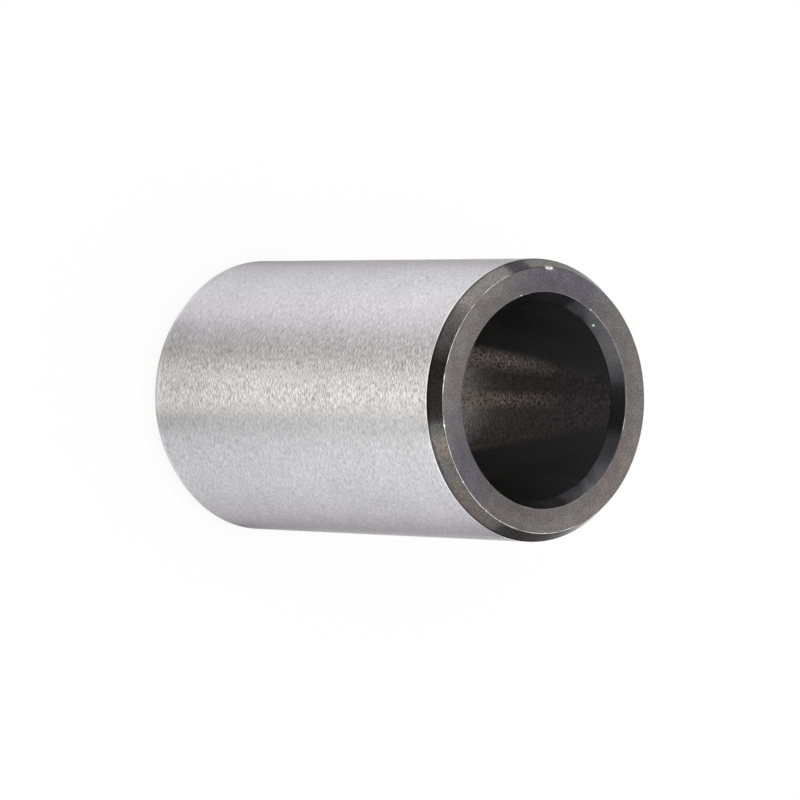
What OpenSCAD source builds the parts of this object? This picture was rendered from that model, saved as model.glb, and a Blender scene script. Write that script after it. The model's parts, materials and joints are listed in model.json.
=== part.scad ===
// Pulley boss: the plain hardened sleeve that slips over a crankshaft, is clamped there by its end faces,
// and carries the sliding half of a belt pulley on its ground outside.
// It stands on one end face: the origin is the centre of that face, and the axis is +Z.
// All lengths are in millimetres and all angles in degrees.

/* [Sleeve] */
// Ground outside diameter, which the sliding pulley half runs on
outer_diameter = 24; // [21:0.1:40]
// Bore diameter, which slips over the crankshaft
bore_diameter = 17; // [8:0.1:20]
// Length from end face to end face
sleeve_length = 39.6; // [10:0.1:120]

/* [Outside chamfers] */
// Length of each outside lead-in chamfer, measured along the axis
outer_chamfer_length = 1.25; // [0.4:0.05:3.5]
// Slope of the outside chamfers, measured from the axis
outer_chamfer_angle = 30; // [15:1:60]

/* [Bore chamfers] */
// Length of each bore chamfer, measured along the axis
bore_chamfer_length = 1.2; // [0.4:0.05:3.5]
// Slope of the bore chamfers, measured from the axis
bore_chamfer_angle = 30; // [15:1:60]

/* [Edges] */
// Radius that every turned edge is broken to
edge_break = 0.08; // [0.02:0.01:0.2]

/* [Hidden] */

// Number of straight steps that draw each broken edge
edge_steps = 4;
// Number of sides that draw each full circle
round_sides = 128;

outer_radius = outer_diameter / 2;
bore_radius = bore_diameter / 2;
// Radii between which each flat end face lies, before its edges are broken
face_outer_radius = outer_radius - outer_chamfer_length * tan(outer_chamfer_angle);
face_inner_radius = bore_radius + bore_chamfer_length * tan(bore_chamfer_angle);

function unit(v) = v / norm(v);

// Arc of the given radius that breaks the corner between the edges corner-before and corner-after,
// for a convex outline that runs anticlockwise
function broken_corner(before, corner, after, radius) =
    let (
        to_before = unit(before - corner),
        to_after = unit(after - corner),
        half_angle = acos(to_before * to_after) / 2,
        centre = corner + unit(to_before + to_after) * radius / sin(half_angle),
        first = corner + to_before * radius / tan(half_angle) - centre,
        first_angle = atan2(first.y, first.x),
        sweep = 180 - 2 * half_angle
    )
    [
        for (step = [0 : edge_steps])
            let (angle = first_angle + sweep * step / edge_steps)
                centre + radius * [cos(angle), sin(angle)]
    ];

// Every corner of a convex anticlockwise outline broken to the same radius
function broken_outline(corners, radius) =
    let (count = len(corners))
    [
        for (i = [0 : count - 1])
            each broken_corner(corners[(i + count - 1) % count], corners[i], corners[(i + 1) % count], radius)
    ];

// Section through the sleeve wall as [radius, height], anticlockwise from the foot of the lower end face
wall_corners = [
    [face_inner_radius, 0],
    [face_outer_radius, 0],
    [outer_radius, outer_chamfer_length],
    [outer_radius, sleeve_length - outer_chamfer_length],
    [face_outer_radius, sleeve_length],
    [face_inner_radius, sleeve_length],
    [bore_radius, sleeve_length - bore_chamfer_length],
    [bore_radius, bore_chamfer_length]
];

// The whole sleeve, turned from one bar
module boss() {
    color("silver")
        rotate_extrude($fn = round_sides)
            polygon(broken_outline(wall_corners, edge_break));
}

boss();
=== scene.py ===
import json
import math

import bmesh
import bpy
from mathutils import Matrix, Vector


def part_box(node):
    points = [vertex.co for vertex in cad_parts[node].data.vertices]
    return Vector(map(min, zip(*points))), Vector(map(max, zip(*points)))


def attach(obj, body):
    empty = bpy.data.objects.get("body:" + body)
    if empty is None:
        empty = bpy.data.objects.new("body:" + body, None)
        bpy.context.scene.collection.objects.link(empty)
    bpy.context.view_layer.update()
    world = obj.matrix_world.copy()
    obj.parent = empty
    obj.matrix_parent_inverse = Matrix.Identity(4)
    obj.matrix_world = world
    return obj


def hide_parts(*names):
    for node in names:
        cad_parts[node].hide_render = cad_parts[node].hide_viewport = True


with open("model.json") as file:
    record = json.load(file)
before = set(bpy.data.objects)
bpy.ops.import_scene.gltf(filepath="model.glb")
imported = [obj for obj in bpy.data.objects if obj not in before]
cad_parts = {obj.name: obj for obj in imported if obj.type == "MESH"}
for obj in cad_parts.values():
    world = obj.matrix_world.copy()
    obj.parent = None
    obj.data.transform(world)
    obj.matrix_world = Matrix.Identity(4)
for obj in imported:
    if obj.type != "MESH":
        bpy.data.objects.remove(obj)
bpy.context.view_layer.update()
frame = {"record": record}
scene = bpy.context.scene

# Sizes of the sleeve in metres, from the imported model
MM = 0.001
foot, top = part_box("boss")
mounts = {mount["name"]: mount["dims"] for mount in frame["record"]["mounts"]}
sleeve_length = top.z - foot.z
outer_radius = mounts["running_surface"]["r_mm"] * MM
bore_radius = mounts["bore"]["r_mm"] * MM
outer_chamfer_length = (sleeve_length - mounts["running_surface"]["length_mm"] * MM) / 2
bore_chamfer_length = (sleeve_length - mounts["bore"]["length_mm"] * MM) / 2
chamfer_degrees = 30
chamfer_slope = math.tan(math.radians(chamfer_degrees))
face_outer_radius = outer_radius - outer_chamfer_length * chamfer_slope
face_inner_radius = bore_radius + bore_chamfer_length * chamfer_slope

# Fineness of the sleeve's mesh
round_steps = 720
edge_break = 0.05 * MM
edge_segments = 3
guard_distances = (0.10 * MM, 0.35 * MM)
weld_distance = 0.001 * MM
turned_edge_angle = math.radians(20)

# The upright part of a face's normal tells its surface: end faces above, walls below, chamfers between
end_face_upright = 0.9
wall_upright = 0.2

# Dents in the outer edge of the upper end face: angle in degrees, reach and depth in millimetres
edge_dents = (
    (-91, 0.25, 0.06),
    (11.5, 0.18, 0.02),
    (56, 0.20, 0.03),
    (64.5, 0.20, 0.03),
    (91.5, 0.18, 0.02),
    (152, 0.20, 0.03),
    (-141, 0.18, 0.02),
)


def direction(azimuth, elevation):
    """Unit vector; the azimuth is counted from the camera's side towards +X."""
    return Vector((
        math.sin(azimuth) * math.cos(elevation),
        -math.cos(azimuth) * math.cos(elevation),
        math.sin(elevation),
    ))


# Camera: it looks down on the standing sleeve, rolled so that the axis lies across the picture
camera_aim = Vector((0.2 * MM, 0, 20.385 * MM))
camera_distance = 502.97 * MM
camera_elevation = math.radians(50.413)
camera_azimuth = math.radians(-0.035)
camera_roll = math.radians(91.113)
camera_lens_mm = 260.11
camera_sensor_mm = 36
towards_camera = direction(camera_azimuth, camera_elevation)


def put(tree, socket, value):
    """Links an input to another node's output, or sets it to a number or a colour."""
    if isinstance(value, bpy.types.NodeSocket):
        tree.links.new(value, socket)
    else:
        socket.default_value = value


def add_node(tree, kind, inputs=None, **settings):
    """Adds a node, sets its properties, and sets or links the named inputs."""
    made = tree.nodes.new(kind)
    for name, value in settings.items():
        setattr(made, name, value)
    for name, value in (inputs or {}).items():
        put(tree, made.inputs[name], value)
    return made


def math_node(tree, operation, first, second=0.0, third=0.0, clamp=False):
    """One arithmetic node; each operand is a number or a socket."""
    operands = {0: first, 1: second, 2: third}
    return add_node(tree, "ShaderNodeMath", operands, operation=operation, use_clamp=clamp).outputs[0]


def blend_colours(tree, factor, first, second):
    """Colour that runs from first to second as factor runs from 0 to 1."""
    made = add_node(tree, "ShaderNodeMix", data_type="RGBA")
    for socket, value in ((made.inputs[0], factor), (made.inputs[6], first), (made.inputs[7], second)):
        put(tree, socket, value)
    return made.outputs[2]


def spread(tree, value, from_low, from_high, to_low, to_high):
    """Maps a value from one range to another and clamps it there."""
    limits = {"From Min": from_low, "From Max": from_high, "To Min": to_low, "To Max": to_high}
    return add_node(tree, "ShaderNodeMapRange", {"Value": value, **limits}).outputs[0]


def grey(level):
    """A neutral colour."""
    return (level, level, level, 1)


def new_group(name, inputs, outputs):
    """An empty shader node group with the named sockets."""
    tree = bpy.data.node_groups.new(name, "ShaderNodeTree")
    for socket_name, default in inputs.items():
        socket = tree.interface.new_socket(socket_name, in_out="INPUT", socket_type="NodeSocketFloat")
        socket.default_value = default
    for socket_name in outputs:
        tree.interface.new_socket(socket_name, in_out="OUTPUT", socket_type="NodeSocketFloat")
    entry = tree.nodes.new("NodeGroupInput")
    leave = tree.nodes.new("NodeGroupOutput")
    return tree, entry, leave


def object_place(tree):
    """Place on the piece, in metres."""
    return add_node(tree, "ShaderNodeTexCoord").outputs["Object"]


def noise_at(tree, place, scale, detail, roughness):
    """Noise between 0 and 1 at a place."""
    made = add_node(
        tree, "ShaderNodeTexNoise",
        {"Vector": place, "Scale": scale, "Detail": detail, "Roughness": roughness},
    )
    return made.outputs["Fac"]


def tool_marks_group():
    """Fine marks that run round the axis: short in the round, and much finer along the axis."""
    tree, entry, leave = new_group(
        "tool_marks", {"Mark Length": 0.7 * MM, "Mark Width": 0.15 * MM}, ["Marks"]
    )
    parts = add_node(tree, "ShaderNodeSeparateXYZ", {0: object_place(tree)})
    along = math_node(tree, "DIVIDE", parts.outputs["X"], entry.outputs["Mark Length"])
    across = math_node(tree, "DIVIDE", parts.outputs["Y"], entry.outputs["Mark Length"])
    upward = math_node(tree, "DIVIDE", parts.outputs["Z"], entry.outputs["Mark Width"])
    stretched = add_node(tree, "ShaderNodeCombineXYZ", {0: along, 1: across, 2: upward}).outputs[0]
    tree.links.new(noise_at(tree, stretched, 1.0, 2.0, 0.6), leave.inputs["Marks"])
    return tree


def mottle_group():
    """Cloudy patches of one size, and a finer grain over them."""
    tree, entry, leave = new_group(
        "mottle", {"Patch Size": 1.5 * MM, "Grain Size": 0.2 * MM, "Shift": 0.0}, ["Patches", "Grain"]
    )
    shift = entry.outputs["Shift"]
    shift_by = add_node(tree, "ShaderNodeCombineXYZ", {0: shift, 1: shift, 2: shift}).outputs[0]
    place = add_node(
        tree, "ShaderNodeVectorMath", {0: object_place(tree), 1: shift_by}, operation="ADD"
    ).outputs[0]
    patch_scale = math_node(tree, "DIVIDE", 1.0, entry.outputs["Patch Size"])
    grain_scale = math_node(tree, "DIVIDE", 1.0, entry.outputs["Grain Size"])
    tree.links.new(noise_at(tree, place, patch_scale, 3.0, 0.55), leave.inputs["Patches"])
    tree.links.new(noise_at(tree, place, grain_scale, 2.0, 0.65), leave.inputs["Grain"])
    return tree


def edge_band_group():
    """Narrow uneven band along a turned edge, at both ends of the sleeve alike."""
    tree, entry, leave = new_group(
        "edge_band",
        {
            "Edge Radius": 0.0, "Edge Height": 0.0, "Reach": 0.1 * MM,
            "Cover": 1.0, "Unevenness": 0.5, "Patch Size": 1.6 * MM,
        },
        ["Band"],
    )
    place = object_place(tree)
    parts = add_node(tree, "ShaderNodeSeparateXYZ", {0: place})
    level_parts = {0: parts.outputs["X"], 1: parts.outputs["Y"]}
    flat = add_node(tree, "ShaderNodeCombineXYZ", level_parts).outputs[0]
    radius = add_node(tree, "ShaderNodeVectorMath", {0: flat}, operation="LENGTH").outputs["Value"]
    from_middle = math_node(tree, "SUBTRACT", parts.outputs["Z"], sleeve_length / 2)
    height = math_node(tree, "ABSOLUTE", from_middle)
    off_radius = math_node(tree, "SUBTRACT", radius, entry.outputs["Edge Radius"])
    off_height = math_node(tree, "SUBTRACT", height, entry.outputs["Edge Height"])
    offset = add_node(tree, "ShaderNodeCombineXYZ", {0: off_radius, 1: off_height}).outputs[0]
    distance = add_node(tree, "ShaderNodeVectorMath", {0: offset}, operation="LENGTH").outputs["Value"]
    share = math_node(tree, "DIVIDE", distance, entry.outputs["Reach"])
    patch_scale = math_node(tree, "DIVIDE", 1.0, entry.outputs["Patch Size"])
    patches = noise_at(tree, place, patch_scale, 2.0, 0.6)
    swing = spread(tree, patches, 0.3, 0.7, -1.0, 1.0)
    uneven = math_node(tree, "MULTIPLY", swing, entry.outputs["Unevenness"])
    covered = math_node(tree, "ADD", entry.outputs["Cover"], uneven)
    left = math_node(tree, "SUBTRACT", covered, share)
    band = math_node(tree, "MULTIPLY", left, 2.0, clamp=True)
    tree.links.new(band, leave.inputs["Band"])
    return tree


def specks_group():
    """Sparse round specks; Chance is the share of places that have one."""
    tree, entry, leave = new_group(
        "specks", {"Spacing": 1.0 * MM, "Size": 0.1 * MM, "Chance": 0.3}, ["Specks"]
    )
    cell_scale = math_node(tree, "DIVIDE", 1.0, entry.outputs["Spacing"])
    cells = add_node(tree, "ShaderNodeTexVoronoi", {"Vector": object_place(tree), "Scale": cell_scale})
    distance = math_node(tree, "MULTIPLY", cells.outputs["Distance"], entry.outputs["Spacing"])
    share = math_node(tree, "DIVIDE", distance, entry.outputs["Size"])
    spot = spread(tree, share, 0.4, 1.0, 1.0, 0.0)
    draw = add_node(tree, "ShaderNodeSeparateColor", {0: cells.outputs["Color"]}).outputs[0]
    chosen = math_node(tree, "LESS_THAN", draw, entry.outputs["Chance"])
    tree.links.new(math_node(tree, "MULTIPLY", spot, chosen), leave.inputs["Specks"])
    return tree


def bloom_group():
    """Soft round bloom about one place on the surface."""
    tree, entry, leave = new_group("bloom", {"X": 0.0, "Y": 0.0, "Z": 0.0, "Reach": 4 * MM}, ["Bloom"])
    centre = add_node(
        tree, "ShaderNodeCombineXYZ", {axis: entry.outputs[axis] for axis in "XYZ"}
    ).outputs[0]
    away = add_node(
        tree, "ShaderNodeVectorMath", {0: object_place(tree), 1: centre}, operation="DISTANCE"
    )
    share = math_node(tree, "DIVIDE", away.outputs["Value"], entry.outputs["Reach"])
    tree.links.new(spread(tree, share, 0.3, 1.0, 1.0, 0.0), leave.inputs["Bloom"])
    return tree


def axial_stripe_group():
    """Stripe along the axis; Angle is counted in radians from the camera's side towards +X."""
    tree, entry, leave = new_group(
        "axial_stripe", {"Angle": 0.0, "Half Width": 0.1, "Softness": 0.8}, ["Stripe"]
    )
    parts = add_node(tree, "ShaderNodeSeparateXYZ", {0: object_place(tree)})
    against_y = math_node(tree, "MULTIPLY", parts.outputs["Y"], -1.0)
    angle = math_node(tree, "ARCTAN2", parts.outputs["X"], against_y)
    turn = math_node(tree, "SUBTRACT", angle, entry.outputs["Angle"])
    off_centre = math_node(tree, "ARCCOSINE", math_node(tree, "COSINE", turn))
    share = math_node(tree, "DIVIDE", off_centre, entry.outputs["Half Width"])
    inner_share = math_node(tree, "SUBTRACT", 1.0, entry.outputs["Softness"])
    tree.links.new(spread(tree, share, inner_share, 1.0, 1.0, 0.0), leave.inputs["Stripe"])
    return tree


tool_marks = tool_marks_group()
mottle = mottle_group()
edge_band = edge_band_group()
specks = specks_group()
bloom = bloom_group()
axial_stripe = axial_stripe_group()


def use_group(tree, group, **inputs):
    """Places a group in a material; underscores in the input names stand for spaces."""
    made = tree.nodes.new("ShaderNodeGroup")
    made.node_tree = group
    for name, value in inputs.items():
        put(tree, made.inputs[name.replace("_", " ")], value)
    return made.outputs


def new_metal(name, **constants):
    """A material with one metallic shader; underscores in the constants' names stand for spaces."""
    material = bpy.data.materials.new(name)
    material.use_nodes = True
    tree = material.node_tree
    shader = tree.nodes["Principled BSDF"]
    shader.inputs["Metallic"].default_value = 1.0
    for socket_name, value in constants.items():
        shader.inputs[socket_name.replace("_", " ")].default_value = value
    return material, tree, shader.inputs


def on_ring(angle_degrees, radius, height):
    """Point at an angle round the axis; 0 is the camera's side and 90 is towards +X."""
    angle = math.radians(angle_degrees)
    return Vector((radius * math.sin(angle), -radius * math.cos(angle), height))


# Colours of the steel, its oxide and the pits in it; the bare steel also serves for painted highlights, and
# the black oxide for painted shade
bare_steel_and_highlight = (0.86, 0.855, 0.85, 1)
ground_grey = (0.645, 0.64, 0.64)
black_oxide_and_shade = (0.04, 0.038, 0.037, 1)
outside_pit = (0.12, 0.115, 0.11, 1)
bore_pit = (0.02, 0.018, 0.016, 1)


def multiplied(tree, colour, factor):
    """The colour times a number or another colour."""
    made = add_node(tree, "ShaderNodeVectorMath", {0: colour, 1: factor}, operation="MULTIPLY")
    return made.outputs[0]


def along_edge(tree, radius, from_end, reach, cover, unevenness):
    """Mask of the band along the turned edge at that radius and distance from the end."""
    return use_group(
        tree, edge_band, Edge_Radius=radius, Edge_Height=sleeve_length / 2 - from_end,
        Reach=reach, Cover=cover, Unevenness=unevenness,
    )["Band"]


def painted_glint_mask(tree, glints):
    """Mask of small painted glints, bright spots; each is an angle in degrees, a radius, a height and a
    reach.
    """
    mask = 0.0
    for angle_degrees, radius, height, reach in glints:
        centre = on_ring(angle_degrees, radius, height)
        spot = use_group(tree, bloom, X=centre.x, Y=centre.y, Z=centre.z, Reach=reach)["Bloom"]
        mask = math_node(tree, "MAXIMUM", mask, spot)
    return mask


def stripe_at(tree, angle_degrees, half_width_degrees):
    """Mask of a stripe along the axis with soft sides."""
    return use_group(
        tree, axial_stripe, Angle=math.radians(angle_degrees),
        Half_Width=math.radians(half_width_degrees), Softness=0.5,
    )["Stripe"]


def tinted_and_lit(tree, colour, stains):
    """The colour with tinted stripes, used for real tints and for painted light and shade; each is an angle
    and a half width in degrees, and a tint.
    """
    for angle_degrees, half_width_degrees, tint in stains:
        stripe = stripe_at(tree, angle_degrees, half_width_degrees)
        colour = blend_colours(tree, stripe, colour, multiplied(tree, colour, tint))
    return colour


def by_angle(tree, start, places):
    """A number that changes round the axis; each place is an angle, a half width and what it adds."""
    value = start
    for angle_degrees, half_width_degrees, added in places:
        stripe = stripe_at(tree, angle_degrees, half_width_degrees)
        value = math_node(tree, "MULTIPLY_ADD", stripe, added, value)
    return value


def worn_edge_and_highlight(tree, edge):
    """Mask of one edge of the end faces, where it is rubbed bright and painted with a thin highlight line.
    """
    cover = by_angle(tree, edge["cover"], edge["rubs_and_highlights"])
    band = along_edge(tree, edge["radius"], 0.0, edge["reach"], cover, 0.3)
    return math_node(tree, "MULTIPLY", band, edge["shine"])


def ground_steel():
    """Bright outside, ground round the axis, with marks of stronger contrast along one side as painted
    glints.
    """
    material, tree, inputs = new_metal("ground_steel", Anisotropic=0.8, Anisotropic_Rotation=0.25)
    fine = use_group(tree, tool_marks, Mark_Length=0.36 * MM, Mark_Width=0.08 * MM)["Marks"]
    long_lines = use_group(tree, tool_marks, Mark_Length=2.4 * MM, Mark_Width=0.16 * MM)["Marks"]
    clouds = use_group(tree, mottle, Patch_Size=5 * MM, Shift=0.02)["Patches"]
    glint_side = use_group(
        tree, axial_stripe, Angle=math.radians(-9), Half_Width=math.radians(21), Softness=0.6
    )["Stripe"]
    mark_and_glint_contrast = spread(tree, glint_side, 0.0, 1.0, 1.6, 3.0)
    mark_tone = math_node(tree, "MULTIPLY", math_node(tree, "SUBTRACT", fine, 0.5), mark_and_glint_contrast)
    line_tone = spread(tree, long_lines, 0.3, 0.7, 0.93, 1.05)
    cloud_tone = spread(tree, clouds, 0.3, 0.7, 0.95, 1.03)
    shade = math_node(tree, "MULTIPLY", line_tone, cloud_tone)
    shade = math_node(tree, "MULTIPLY", shade, math_node(tree, "ADD", mark_tone, 1.0))
    colour = multiplied(tree, ground_grey, shade)
    pits = use_group(tree, specks, Spacing=2.2 * MM, Size=0.11 * MM, Chance=0.10)["Specks"]
    colour = blend_colours(tree, math_node(tree, "MULTIPLY", pits, 0.6), colour, outside_pit)
    # Thin bright line on the outside next to the chamfers: partly a burnished edge, partly a painted
    # highlight
    rim_burnish_and_highlight = along_edge(tree, outer_radius, outer_chamfer_length, 0.2 * MM, 1.0, 0.3)
    colour = blend_colours(tree, rim_burnish_and_highlight, colour, bare_steel_and_highlight)
    tree.links.new(colour, inputs["Base Color"])
    roughness = spread(tree, fine, 0.3, 0.7, 0.36, 0.28)
    smoothed = math_node(tree, "MULTIPLY", rim_burnish_and_highlight, 0.15)
    tree.links.new(math_node(tree, "SUBTRACT", roughness, smoothed), inputs["Roughness"])
    bump = add_node(tree, "ShaderNodeBump", {"Height": fine, "Strength": 1.0, "Distance": 0.025 * MM})
    tree.links.new(bump.outputs["Normal"], inputs["Normal"])
    tangent = add_node(tree, "ShaderNodeTangent", direction_type="RADIAL", axis="Z")
    tree.links.new(tangent.outputs["Tangent"], inputs["Tangent"])
    return material


def clouded(tree, colours, patch_size, grain_size, grain_depth, shift):
    """Colour that drifts through the given three in patches, with a darker and lighter grain."""
    first = use_group(tree, mottle, Patch_Size=patch_size, Grain_Size=grain_size, Shift=shift)
    second = use_group(tree, mottle, Patch_Size=patch_size, Shift=shift + 0.1)
    second_share = spread(tree, first["Patches"], 0.4, 0.6, 0.0, 1.0)
    third_share = spread(tree, second["Patches"], 0.5, 0.7, 0.0, 1.0)
    colour = blend_colours(tree, second_share, colours[0], colours[1])
    colour = blend_colours(tree, third_share, colour, colours[2])
    shade = spread(tree, first["Grain"], 0.3, 0.7, 1.0 - grain_depth, 1.0 + grain_depth)
    return multiplied(tree, colour, shade), first["Grain"]


# Painted glints, bright spots of bare steel on the edges of the upper end face: angle in degrees, reach in
# millimetres
outer_edge_painted_glints = (
    (-89.8, 0.26), (-91.0, 0.30), (-92.2, 0.26), (11.5, 0.14),
    (38, 0.10), (56, 0.12), (64.5, 0.10), (91.5, 0.14),
)
inner_edge_painted_glints = ((-72, 0.12), (-122.5, 0.10))
painted_edge_glints = [
    (angle_degrees, radius, sleeve_length, reach_mm * MM)
    for radius, glints in ((face_outer_radius, outer_edge_painted_glints), (face_inner_radius, inner_edge_painted_glints))
    for angle_degrees, reach_mm in glints
]
# A painted glint on the bore mouth, white and matt
mouth_painted_glint = (-132.5, bore_radius + 0.28 * MM, sleeve_length - 0.72 * MM, 0.16 * MM)

# Edges of the end faces, rubbed bright and painted with a thin highlight line; each rub is an angle and a
# half width in degrees, and added cover
outer_edge = {
    "radius": face_outer_radius, "reach": 0.07 * MM, "cover": 0.5, "shine": 0.8,
    "rubs_and_highlights": (
        (-88, 20, -0.45), (-62, 10, 0.3), (-33, 6, 0.3), (1, 10, -0.3), (66, 52, 0.25), (63, 6, 0.2),
        (73, 14, 0.15), (97, 15, 0.5),
    ),
}
inner_edge = {
    "radius": face_inner_radius, "reach": 0.06 * MM, "cover": 0.35, "shine": 0.5,
    "rubs_and_highlights": ((-125, 25, 0.15), (-92, 16, -0.3), (-66, 14, 0.1), (67, 10, 0.15), (132, 12, -0.2)),
}

# The lower end's chamfer is paler than the upper end's by this much
lower_end_paleness = (1.4, 1.4, 1.4)

# Heat tints, and painted reflections on the bore mouth: angle and half width in degrees, and what the
# oxide's colour is multiplied by
chamfer_tints = (
    (-76.5, 6, (0.98, 0.95, 1.08)),
    (-44.5, 3.5, (1.20, 1.12, 1.06)),
    (17.5, 3.5, (1.08, 1.09, 1.0)),
    (22.5, 4, (1.10, 0.98, 0.91)),
    (32, 3, (0.95, 0.98, 1.05)),
    (48, 16, (1.05, 0.96, 0.94)),
    (71, 5, (0.96, 0.97, 1.05)),
    (88, 13, (1.12, 0.97, 0.975)),
)
face_tints = (
    (-98, 38, (0.71, 0.75, 0.88)),
    (12, 14, (0.87, 0.89, 0.97)),
    (36, 20, (0.67, 0.71, 0.83)),
    (66, 24, (0.80, 0.78, 0.80)),
    (140, 45, (1.05, 1.03, 1.01)),
)
# Painted reflections on the bore mouth: stripes made lighter or darker to stand in for what it mirrors
mouth_painted_reflections = (
    (108, 24, (1.90, 1.88, 1.92)),
    (158, 42, (0.73, 0.72, 0.75)),
    (195, 9, (0.65, 0.65, 0.66)),
    (218, 14, (1.30, 1.28, 1.31)),
    (255, 25, (2.15, 2.12, 2.20)),
)

# Places of the bore mouth that are duller or more metallic: angle and half width in degrees, and added metal
mouth_bloom = ((93, 18, -0.04), (115, 9, -0.15), (177, 16, 0.03), (243, 8, -0.13))


def chamfer_oxide():
    """Outside chamfers: smooth turned steel, tinted by heat, darker along their edges partly as painted
    shade, and paler at the lower end.
    """
    material, tree, inputs = new_metal("chamfer_oxide")
    tints = ((0.185, 0.177, 0.169, 1), (0.215, 0.202, 0.188, 1), (0.203, 0.198, 0.185, 1))
    plain, grain = clouded(tree, tints, 2.2 * MM, 0.17 * MM, 0.42, 0.0)
    colour = tinted_and_lit(tree, plain, chamfer_tints)
    # Darker along both edges of the chamfer: partly dark oxide, partly painted shade
    outer_edge_darkening = along_edge(tree, outer_radius, outer_chamfer_length, 0.3 * MM, 0.9, 0.2)
    inner_edge_darkening = along_edge(tree, face_outer_radius, 0.0, 0.16 * MM, 0.8, 0.2)
    edge_darkening = math_node(tree, "MAXIMUM", outer_edge_darkening, inner_edge_darkening)
    colour = blend_colours(tree, math_node(tree, "MULTIPLY", edge_darkening, 0.6), colour, black_oxide_and_shade)
    height = add_node(tree, "ShaderNodeSeparateXYZ", {0: object_place(tree)}).outputs["Z"]
    at_lower_end = math_node(tree, "LESS_THAN", height, sleeve_length / 2)
    colour = blend_colours(tree, at_lower_end, colour, multiplied(tree, plain, lower_end_paleness))
    # Rubbed edge and painted highlight line
    colour = blend_colours(tree, worn_edge_and_highlight(tree, outer_edge), colour, bare_steel_and_highlight)
    # Painted glints on the upper edge
    colour = blend_colours(tree, painted_glint_mask(tree, painted_edge_glints), colour, bare_steel_and_highlight)
    tree.links.new(colour, inputs["Base Color"])
    tree.links.new(spread(tree, grain, 0.3, 0.7, 0.11, 0.18), inputs["Roughness"])
    return material


def mouth_oxide():
    """Bore chamfers: smooth and blue-black, with painted reflections as lighter and darker stripes round the
    axis.
    """
    material, tree, inputs = new_metal("mouth_oxide")
    tints = ((0.110, 0.110, 0.115, 1), (0.122, 0.121, 0.124, 1), (0.115, 0.112, 0.111, 1))
    colour, grain = clouded(tree, tints, 2.2 * MM, 0.16 * MM, 0.25, 0.2)
    colour = tinted_and_lit(tree, colour, mouth_painted_reflections)
    # Rubbed edge and painted highlight line
    colour = blend_colours(tree, worn_edge_and_highlight(tree, inner_edge), colour, bare_steel_and_highlight)
    # Painted glints on the mouth and on its edge
    painted_fleck = painted_glint_mask(tree, (mouth_painted_glint,))
    bright = math_node(tree, "MAXIMUM", painted_fleck, painted_glint_mask(tree, painted_edge_glints))
    colour = blend_colours(tree, bright, colour, bare_steel_and_highlight)
    tree.links.new(colour, inputs["Base Color"])
    metal = by_angle(tree, 0.95, mouth_bloom)
    # The painted glint on the mouth is not metallic, so that it shows white
    tree.links.new(math_node(tree, "SUBTRACT", metal, painted_fleck, clamp=True), inputs["Metallic"])
    tree.links.new(spread(tree, grain, 0.3, 0.7, 0.12, 0.18), inputs["Roughness"])
    return material


def end_face_oxide():
    """End faces: matt, finely mottled, warm grey with a blue bloom in two places."""
    material, tree, inputs = new_metal("end_face_oxide")
    tints = ((0.132, 0.120, 0.115, 1), (0.161, 0.145, 0.139, 1), (0.134, 0.128, 0.127, 1))
    colour, grain = clouded(tree, tints, 1.2 * MM, 0.15 * MM, 0.42, 0.3)
    colour = tinted_and_lit(tree, colour, face_tints)
    inner_edge_darkening = along_edge(tree, face_inner_radius, 0.0, 1.4 * MM, 1.0, 0.3)
    colour = blend_colours(tree, math_node(tree, "MULTIPLY", inner_edge_darkening, 0.18), colour, black_oxide_and_shade)
    # Rubbed edges and painted highlight lines along both edges of the face
    wear_and_highlight = math_node(tree, "MAXIMUM", worn_edge_and_highlight(tree, outer_edge), worn_edge_and_highlight(tree, inner_edge))
    colour = blend_colours(tree, wear_and_highlight, colour, bare_steel_and_highlight)
    # Painted glints on the edges of the face
    colour = blend_colours(tree, painted_glint_mask(tree, painted_edge_glints), colour, bare_steel_and_highlight)
    tree.links.new(colour, inputs["Base Color"])
    tree.links.new(spread(tree, grain, 0.3, 0.7, 0.34, 0.46), inputs["Roughness"])
    bump = add_node(tree, "ShaderNodeBump", {"Height": grain, "Strength": 0.4, "Distance": 0.012 * MM})
    tree.links.new(bump.outputs["Normal"], inputs["Normal"])
    return material


# Stain in the bore, partly a painted reflection: a lighter wedge on the side away from the camera, narrower
# and softer towards the mouth
stain_and_reflection_angle = math.radians(180)
stain_and_reflection_half_width_deep = math.radians(34)
stain_and_reflection_half_width_mouth = math.radians(18.5)
stain_and_reflection_softness_deep = 0.08
stain_and_reflection_softness_mouth = 0.35
stain_and_reflection_heights = (21.5 * MM, 37 * MM)
# Painted shadow: a darker stripe in the wedge, between its middle and its edge rust; angle and half width in
# degrees, and how far it goes towards black
painted_shadow_degrees = (189, 8)
painted_shadow_darkness = 0.25

# Rust in the stain and painted reflection: a stripe in the middle and one along an edge, placed by the
# wedge's half width
middle_rust_half_width = math.radians(6)
edge_rust_place = 0.79
edge_rust_width = 0.28
rust_top_height = 32.5 * MM
rust_fade = 8 * MM
bare_bore_metal = 0.66
rust_metal = 0.05
brown_stain_and_reflection = (0.213, 0.194, 0.184, 1)
grey_stain_and_reflection = (0.134, 0.127, 0.130, 1)
brown_rust = (0.50, 0.39, 0.32, 1)
grey_rust = (0.60, 0.50, 0.455, 1)


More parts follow.
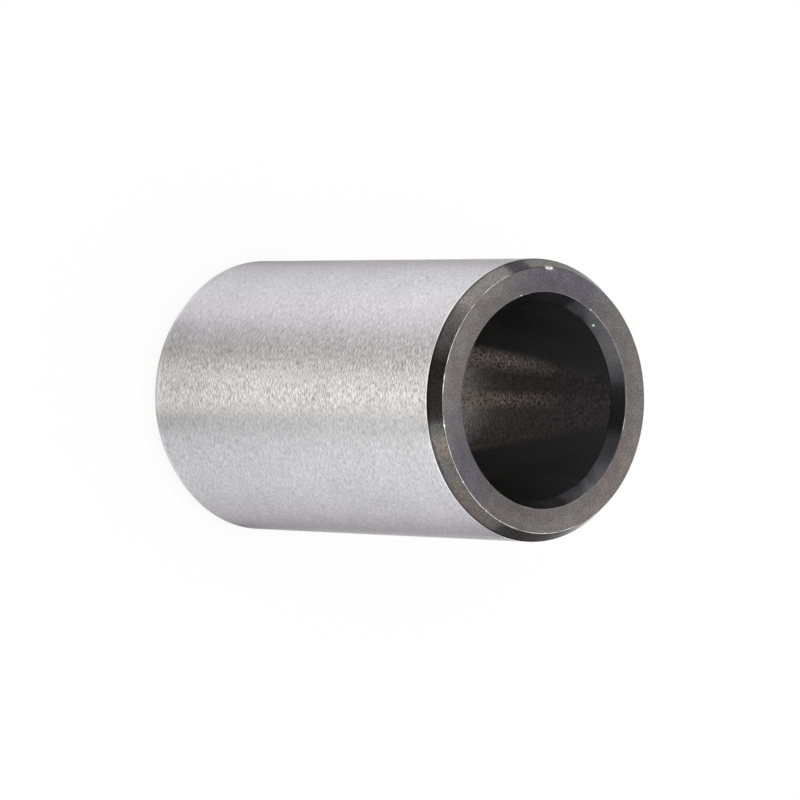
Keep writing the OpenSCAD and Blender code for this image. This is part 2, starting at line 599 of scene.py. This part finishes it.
def bore_scale():
    """Bore: dark and smooth, with a wedge of brown staining along one side that is partly a painted
    reflection, a painted shadow in it, two rusty stripes and black pits.
    """
    material, tree, inputs = new_metal("bore_scale", Specular_Tint=grey(0.2))
    tints = ((0.095, 0.093, 0.093, 1), (0.103, 0.099, 0.098, 1), (0.092, 0.092, 0.093, 1))
    colour, grain = clouded(tree, tints, 2.5 * MM, 0.15 * MM, 0.2, 0.7)
    height = add_node(tree, "ShaderNodeSeparateXYZ", {0: object_place(tree)}).outputs["Z"]
    half_width = spread(tree, height, *stain_and_reflection_heights, stain_and_reflection_half_width_deep, stain_and_reflection_half_width_mouth)
    softness = spread(tree, height, *stain_and_reflection_heights, stain_and_reflection_softness_deep, stain_and_reflection_softness_mouth)
    marks = use_group(tree, tool_marks, Mark_Length=0.30 * MM, Mark_Width=0.18 * MM)["Marks"]
    # The wedge: partly a brown stain, partly a painted reflection
    stain_and_reflection = use_group(
        tree, axial_stripe, Angle=stain_and_reflection_angle, Half_Width=half_width, Softness=softness
    )["Stripe"]
    stain_and_reflection_tone = spread(tree, marks, 0.3, 0.7, 0.5, 1.5)
    mouth_share = spread(tree, height, *stain_and_reflection_heights, 0.0, 1.0)
    stain_and_reflection_colour = blend_colours(tree, mouth_share, brown_stain_and_reflection, grey_stain_and_reflection)
    colour = blend_colours(tree, stain_and_reflection, colour, multiplied(tree, stain_and_reflection_colour, stain_and_reflection_tone))
    # Painted shadow: darkens that stripe towards black
    painted_shadow = math_node(tree, "MULTIPLY", stripe_at(tree, *painted_shadow_degrees), painted_shadow_darkness)
    colour = blend_colours(tree, painted_shadow, colour, black_oxide_and_shade)
    middle_rust = use_group(
        tree, axial_stripe, Angle=stain_and_reflection_angle, Half_Width=middle_rust_half_width
    )["Stripe"]
    off_middle = math_node(tree, "MULTIPLY", half_width, edge_rust_place)
    edge_angle = math_node(tree, "ADD", off_middle, stain_and_reflection_angle)
    edge_half_width = math_node(tree, "MULTIPLY", half_width, edge_rust_width)
    edge_rust = use_group(tree, axial_stripe, Angle=edge_angle, Half_Width=edge_half_width)["Stripe"]
    stripes = math_node(tree, "MAXIMUM", middle_rust, edge_rust)
    below_mouth = spread(tree, height, rust_top_height - rust_fade, rust_top_height, 1.0, 0.0)
    stripes = math_node(tree, "MULTIPLY", stripes, below_mouth)
    rust = math_node(tree, "MULTIPLY", stripes, spread(tree, marks, 0.36, 0.56, 0.12, 1.0))
    rust_colour = blend_colours(tree, edge_rust, brown_rust, grey_rust)
    colour = blend_colours(tree, rust, colour, rust_colour)
    pits = use_group(tree, specks, Spacing=0.30 * MM, Size=0.15 * MM, Chance=0.75)["Specks"]
    pit_cover = math_node(tree, "MULTIPLY", stain_and_reflection, spread(tree, stripes, 0.0, 0.6, 0.45, 0.92))
    colour = blend_colours(tree, math_node(tree, "MULTIPLY", pits, pit_cover), colour, bore_pit)
    tree.links.new(colour, inputs["Base Color"])
    tree.links.new(spread(tree, rust, 0.0, 1.0, bare_bore_metal, rust_metal), inputs["Metallic"])
    tree.links.new(spread(tree, grain, 0.3, 0.7, 0.14, 0.20), inputs["Roughness"])
    return material


materials = {
    "outside": ground_steel(),
    "chamfer": chamfer_oxide(),
    "face": end_face_oxide(),
    "mouth": mouth_oxide(),
    "bore": bore_scale(),
}
surfaces = list(materials)


def wall_corners():
    """Corners of the wall's section as (radius, height), once round from the lower end face."""
    return [
        (face_inner_radius, 0),
        (face_outer_radius, 0),
        (outer_radius, outer_chamfer_length),
        (outer_radius, sleeve_length - outer_chamfer_length),
        (face_outer_radius, sleeve_length),
        (face_inner_radius, sleeve_length),
        (bore_radius, sleeve_length - bore_chamfer_length),
        (bore_radius, bore_chamfer_length),
    ]


def guarded_side(start, end):
    """Points from start up to end, with guard points near both that keep the flat stretch flat."""
    start, end = Vector(start), Vector(end)
    side = (end - start).normalized()
    near = [start + side * distance for distance in guard_distances]
    far = [end - side * distance for distance in reversed(guard_distances)]
    return [start, *near, *far]


def surface_of(face):
    """Name of the surface that a face of the sleeve belongs to."""
    centre = face.calc_center_median()
    radius = Vector((centre.x, centre.y)).length
    upright = abs(face.normal.z)
    is_outer = radius > (outer_radius + bore_radius) / 2
    if upright > end_face_upright:
        return "face"
    if upright < wall_upright:
        return "outside" if is_outer else "bore"
    return "chamfer" if is_outer else "mouth"


def dent_edge(shape, angle_degrees, reach, depth):
    """Knocks a small dent into the outer edge of the upper end face, midway between face and chamfer."""
    centre = on_ring(angle_degrees, face_outer_radius, sleeve_length)
    midway = math.radians((90 + chamfer_degrees) / 2)
    inward = on_ring(angle_degrees, -math.cos(midway), -math.sin(midway))
    for vertex in shape.verts:
        distance = (vertex.co - centre).length
        if distance < reach:
            vertex.co += inward * depth * (1 - (distance / reach) ** 2) ** 2


def make_sleeve():
    """The whole sleeve: its section spun round the axis, with every edge broken."""
    shape = bmesh.new()
    corners = wall_corners()
    section = []
    for i, corner in enumerate(corners):
        section += guarded_side(corner, corners[(i + 1) % len(corners)])
    points = [shape.verts.new((radius, 0, height)) for radius, height in section]
    edges = [shape.edges.new((points[i - 1], points[i])) for i in range(len(points))]
    bmesh.ops.spin(
        shape, geom=points + edges, cent=(0, 0, 0), axis=(0, 0, 1), dvec=(0, 0, 0),
        angle=math.tau, steps=round_steps, use_merge=True, use_duplicate=False,
    )
    bmesh.ops.remove_doubles(shape, verts=shape.verts, dist=weld_distance)
    bmesh.ops.recalc_face_normals(shape, faces=shape.faces)
    turned_edges = [edge for edge in shape.edges if edge.calc_face_angle(0) > turned_edge_angle]
    bmesh.ops.bevel(
        shape, geom=turned_edges, offset=edge_break, offset_type="OFFSET", affect="EDGES",
        segments=edge_segments, profile=0.5, material=-1,
    )
    for face in shape.faces:
        face.smooth = True
        face.material_index = surfaces.index(surface_of(face))
    for angle_degrees, reach_mm, depth_mm in edge_dents:
        dent_edge(shape, angle_degrees, reach_mm * MM, depth_mm * MM)
    mesh = bpy.data.meshes.new("sleeve")
    shape.to_mesh(mesh)
    shape.free()
    for material in materials.values():
        mesh.materials.append(material)
    sleeve = bpy.data.objects.new("sleeve", mesh)
    scene.collection.objects.link(sleeve)
    return sleeve


sleeve = make_sleeve()
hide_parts("boss")
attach(sleeve, "root")

# Stage: pale floor, white surroundings, two softboxes, and two cards that only reflections see
floor_half_width = 3.0
floor_tone = 0.9
floor_glow_share = 0.9
surround_light = 0.8
softbox_distance = 0.6
softbox_width = 0.35
floor_card_reach = 60 * MM
floor_card_lift = 0.05 * MM


def seen_factor(tree):
    """1 for the rays that show the background as it looks, 0 for the rays that only carry light."""
    path = add_node(tree, "ShaderNodeLightPath")
    seen = math_node(tree, "MAXIMUM", path.outputs["Is Camera Ray"], path.outputs["Is Glossy Ray"])
    return math_node(tree, "MAXIMUM", seen, path.outputs["Is Transmission Ray"])


def make_floor():
    """Pale floor that reads white and keeps a soft shadow."""
    shape = bmesh.new()
    bmesh.ops.create_grid(shape, x_segments=1, y_segments=1, size=floor_half_width)
    mesh = bpy.data.meshes.new("floor")
    shape.to_mesh(mesh)
    shape.free()
    material = bpy.data.materials.new("pale_floor")
    material.use_nodes = True
    tree = material.node_tree
    tree.nodes.remove(tree.nodes["Principled BSDF"])
    matt = add_node(tree, "ShaderNodeBsdfDiffuse", {"Color": grey(floor_tone)})
    glow = add_node(tree, "ShaderNodeEmission", {"Color": grey(1.0), "Strength": 1.0})
    share = math_node(tree, "MULTIPLY", seen_factor(tree), floor_glow_share)
    mixed = add_node(tree, "ShaderNodeMixShader", {0: share, 1: matt.outputs[0], 2: glow.outputs[0]})
    tree.links.new(mixed.outputs[0], tree.nodes["Material Output"].inputs["Surface"])
    mesh.materials.append(material)
    floor = bpy.data.objects.new("floor", mesh)
    scene.collection.objects.link(floor)
    return floor


def make_surroundings():
    """White surroundings, softer as a source of light."""
    world = bpy.data.worlds.new("surroundings")
    world.use_nodes = True
    tree = world.node_tree
    light = tree.nodes["Background"]
    light.inputs["Color"].default_value = grey(1.0)
    light.inputs["Strength"].default_value = surround_light
    shown = add_node(tree, "ShaderNodeBackground", {"Color": grey(1.0), "Strength": 1.0})
    mixed = add_node(
        tree, "ShaderNodeMixShader",
        {0: seen_factor(tree), 1: light.outputs[0], 2: shown.outputs[0]},
    )
    tree.links.new(mixed.outputs[0], tree.nodes["World Output"].inputs["Surface"])
    scene.world = world


def soft_lamp(name, azimuth, elevation, radiance):
    """Square lamp of the given brightness that faces the middle of the sleeve."""
    lamp = bpy.data.lights.new(name, "AREA")
    lamp.size = softbox_width
    lamp.energy = radiance * math.pi * softbox_width * softbox_width
    holder = bpy.data.objects.new(name, lamp)
    out = direction(azimuth, elevation)
    holder.location = Vector((0, 0, sleeve_length / 2)) + out * softbox_distance
    holder.rotation_euler = out.to_track_quat("Z", "Y").to_euler()
    scene.collection.objects.link(holder)


def tones_at(stops, degrees):
    """Tones at an angle, in straight steps between the stops."""
    for before, after in zip(stops, stops[1:]):
        if degrees <= after[0]:
            share = (degrees - before[0]) / (after[0] - before[0])
            return [a + (b - a) * share for a, b in zip(before[1:], after[1:])]
    return stops[-1][1:]


def reflected_card(name, rows):
    """Card that only reflections see, from rows of (place, colour) that run into each other."""
    shape = bmesh.new()
    tone_layer = shape.verts.layers.float_color.new("tone")
    made_rows = []
    for row in rows:
        made_row = [shape.verts.new(place) for place, tone in row]
        for vertex, (place, tone) in zip(made_row, row):
            vertex[tone_layer] = (*tone, 1)
        made_rows.append(made_row)
    for before, after in zip(made_rows, made_rows[1:]):
        shape.faces.new((before[0], after[0], after[1], before[1]))
    mesh = bpy.data.meshes.new(name)
    shape.to_mesh(mesh)
    shape.free()
    material = bpy.data.materials.new(name)
    material.use_nodes = True
    tree = material.node_tree
    tree.nodes.remove(tree.nodes["Principled BSDF"])
    tone = add_node(tree, "ShaderNodeAttribute", attribute_name="tone")
    glow = add_node(tree, "ShaderNodeEmission", {"Color": tone.outputs["Color"], "Strength": 1.0})
    tree.links.new(glow.outputs[0], tree.nodes["Material Output"].inputs["Surface"])
    mesh.materials.append(material)
    card = bpy.data.objects.new(name, mesh)
    card.visible_camera = False
    card.visible_diffuse = False
    card.visible_shadow = False
    scene.collection.objects.link(card)


def mirrored_heading(degrees, distance):
    """Heading round the axis of what the upper chamfer mirrors at an angle, at that distance."""
    slope = math.radians(chamfer_degrees)
    normal = on_ring(degrees, math.cos(slope), math.sin(slope))
    ray = 2 * normal.dot(towards_camera) * normal - towards_camera
    start = on_ring(degrees, (outer_radius + face_outer_radius) / 2, 0).to_2d()
    level_ray = ray.to_2d().normalized()
    along = start.dot(level_ray)
    reach = math.sqrt(distance ** 2 - start.length_squared + along ** 2) - along
    return (start + level_ray * reach).normalized()


def horizon_card(name, stops, places):
    """Upright card round the sleeve, curved so that each angle of the upper chamfer mirrors its own tone.

    The stops are (angle in degrees, tone), and the places are
    (angle in degrees, distance from the axis, height).
    """
    rows = []
    for degrees in range(stops[0][0], stops[-1][0] + 1):
        tone = tones_at(stops, degrees)[0]
        distance, height = tones_at(places, degrees)
        heading = mirrored_heading(degrees, distance) * distance
        rows.append([((heading.x, heading.y, level), (tone, tone, tone)) for level in (0, height)])
    reflected_card(name, rows)


def floor_card(name, stops, tints):
    """Flat card round the sleeve's foot, placed so that each angle of the outside mirrors its own tones.

    The stops are (angle in degrees, tone mirrored at the foot, tone mirrored further up), and the
    tints are (angle in degrees, share of red, share of blue), with green as 1.
    """
    rows = []
    for degrees in range(stops[0][0], stops[-1][0] + 1):
        foot_edge = on_ring(degrees, face_outer_radius, floor_card_lift)
        mirrored_at = on_ring(degrees, outer_radius, floor_card_lift)
        far_edge = mirrored_at + on_ring(2 * degrees, floor_card_reach, 0)
        foot_tone, far_tone = tones_at(stops, degrees)
        red, blue = tones_at(tints, degrees)
        tint = Vector((red, 1, blue))
        rows.append([(foot_edge, tint * foot_tone), (far_edge, tint * far_tone)])
    reflected_card(name, rows)


# What the outside and the upper chamfer mirror, by the angle on the sleeve
outside_tones = (
    (-90, 1.05, 2.40),
    (-82, 0.72, 1.80),
    (-76, 0.18, 0.10),
    (-69, 0.55, 0.70),
    (-60, 0.74, 1.05),
    (-43, 0.93, 1.34),
    (-34, 0.88, 1.32),
    (-27, 0.61, 1.00),
    (-17, 0.56, 0.77),
    (-9, 0.82, 1.52),
    (5, 0.89, 1.68),
    (10, 0.57, 0.98),
    (18, 0.75, 1.28),
    (32, 0.86, 1.30),
    (45, 0.78, 1.12),
    (60, 0.58, 0.80),
    (66, 0.40, 0.50),
    (70, 0.12, 0.12),
    (74, 0.45, 0.70),
    (78, 1.08, 1.75),
    (82, 1.25, 2.30),
    (90, 1.40, 2.40),
)
outside_tints = (
    (-90, 1.05, 1.01),
    (-75, 1.03, 1.06),
    (-50, 1.00, 1.045),
    (-40, 1.02, 1.02),
    (-28, 1.02, 1.03),
    (-12, 1.02, 0.97),
    (2, 1.02, 0.97),
    (12, 1.00, 1.02),
    (40, 1.00, 1.03),
    (55, 1.02, 1.06),
    (70, 1.03, 1.06),
    (80, 1.05, 1.02),
    (90, 1.05, 1.00),
)
chamfer_tones = (
    (-130, 0.45), (-120, 0.50), (-112, 0.48), (-104, 0.50), (-98, 0.56), (-92, 0.65), (-83, 0.78),
    (-82, 0.32), (-72, 0.33),
    (-71, 1.10), (-64, 1.24), (-58, 1.14), (-46, 1.10), (-44, 1.22), (-41, 0.80), (-37, 0.61),
    (-32, 0.44), (-23, 0.35), (-19, 0.20), (-15, 0.07), (-5, 0.10), (3, 0.12), (8, 0.15), (10, 0.20),
    (11, 0.68), (14, 0.74), (18, 1.05), (23, 0.98), (30, 0.74), (39, 0.77), (46, 0.76), (58, 0.71),
    (66, 0.56), (70, 0.23), (74, 0.17), (82, 0.16), (92, 0.19), (98, 0.25), (106, 0.40), (112, 0.60),
    (118, 0.78), (130, 0.85),
)
horizon_places = (
    (-130, 0.040, 0.04), (-110, 0.045, 0.04), (-100, 0.060, 0.06), (-92, 0.070, 0.09),
    (-70, 0.070, 0.09), (-55, 0.150, 0.09), (55, 0.150, 0.09), (66, 0.070, 0.09),
    (92, 0.070, 0.09), (100, 0.060, 0.06), (110, 0.045, 0.04), (130, 0.040, 0.04),
)

floor = make_floor()
make_surroundings()
soft_lamp("top_softbox", azimuth=math.radians(160), elevation=math.radians(70), radiance=1.3)
soft_lamp("front_softbox", azimuth=math.radians(-5), elevation=math.radians(60), radiance=3.0)
floor_card("floor_card", outside_tones, outside_tints)
horizon_card("horizon_card", chamfer_tones, horizon_places)


def make_camera():
    """Camera at the photograph's viewing angle."""
    lens = bpy.data.cameras.new("camera")
    lens.lens = camera_lens_mm
    lens.sensor_width = camera_sensor_mm
    lens.clip_start = 0.01
    camera = bpy.data.objects.new("camera", lens)
    level = towards_camera.to_track_quat("Z", "Y").to_matrix().to_4x4()
    roll = Matrix.Rotation(camera_roll, 4, "Z")
    place = Matrix.Translation(camera_aim + towards_camera * camera_distance)
    camera.matrix_world = place @ level @ roll
    scene.collection.objects.link(camera)
    scene.camera = camera


make_camera()
scene.view_settings.view_transform = "Standard"
